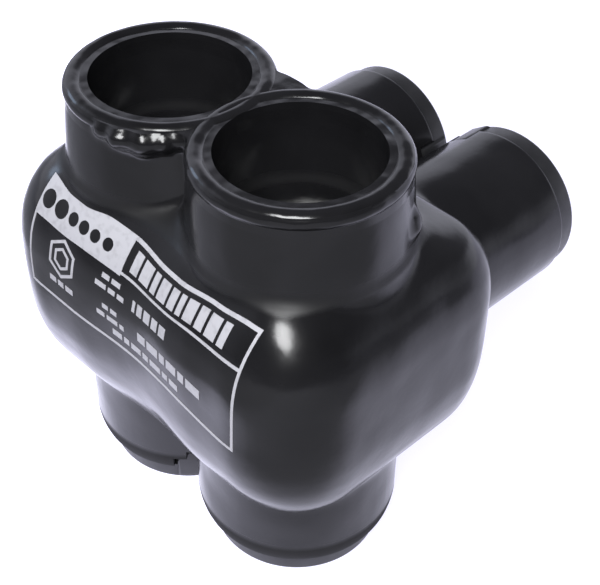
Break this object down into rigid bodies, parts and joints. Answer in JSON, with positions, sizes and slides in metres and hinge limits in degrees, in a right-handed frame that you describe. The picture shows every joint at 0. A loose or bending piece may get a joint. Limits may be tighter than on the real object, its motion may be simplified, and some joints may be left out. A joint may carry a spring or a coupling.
{
  "type": "insulated multi-tap connector",
  "caption": "Insulated tap connector: dipped black jacket round an aluminium block, open wire ports on top, capped ports below and behind.",
  "frame": {"origin": "middle of the overall box at its lowest level, the outer faces of the two lower port caps", "axes": "+X along the row of wire ports, +Y out of the screw ports, +Z out of the open wire ports"},
  "size_m": [0.0676, 0.0724, 0.072],
  "materials": {
    "insulating_jacket": "glossy dipped plastisol",
    "connector_block": "machined",
    "set_screw": "machined",
    "cap": "satin moulded vinyl"
  },
  "bodies": {
    "connector": {"insulating_jacket": "insulating_jacket", "connector_block": "connector_block"},
    "left_set_screw": {"set_screw_left": "set_screw"},
    "right_set_screw": {"set_screw_right": "set_screw"},
    "left_port_cap": {"port_cap_left": "cap"},
    "right_port_cap": {"port_cap_right": "cap"},
    "left_screw_cap": {"screw_cap_left": "cap"},
    "right_screw_cap": {"screw_cap_right": "cap"}
  },
  "joints": [
    {"name": "left_set_screw_drive", "type": "slide", "parent": "connector", "child": "left_set_screw", "axis": [0, -1, 0], "range_m": [-0.009, 0.0125]},
    {"name": "right_set_screw_drive", "type": "slide", "parent": "connector", "child": "right_set_screw", "axis": [0, -1, 0], "range_m": [-0.009, 0.0125]},
    {"name": "left_port_cap_pull", "type": "slide", "parent": "connector", "child": "left_port_cap", "axis": [0, 0, -1], "range_m": [0, 0.016]},
    {"name": "right_port_cap_pull", "type": "slide", "parent": "connector", "child": "right_port_cap", "axis": [0, 0, -1], "range_m": [0, 0.016]},
    {"name": "left_screw_cap_pull", "type": "slide", "parent": "connector", "child": "left_screw_cap", "axis": [0, 1, 0], "range_m": [0, 0.016]},
    {"name": "right_screw_cap_pull", "type": "slide", "parent": "connector", "child": "right_screw_cap", "axis": [0, 1, 0], "range_m": [0, 0.016]}
  ]
}
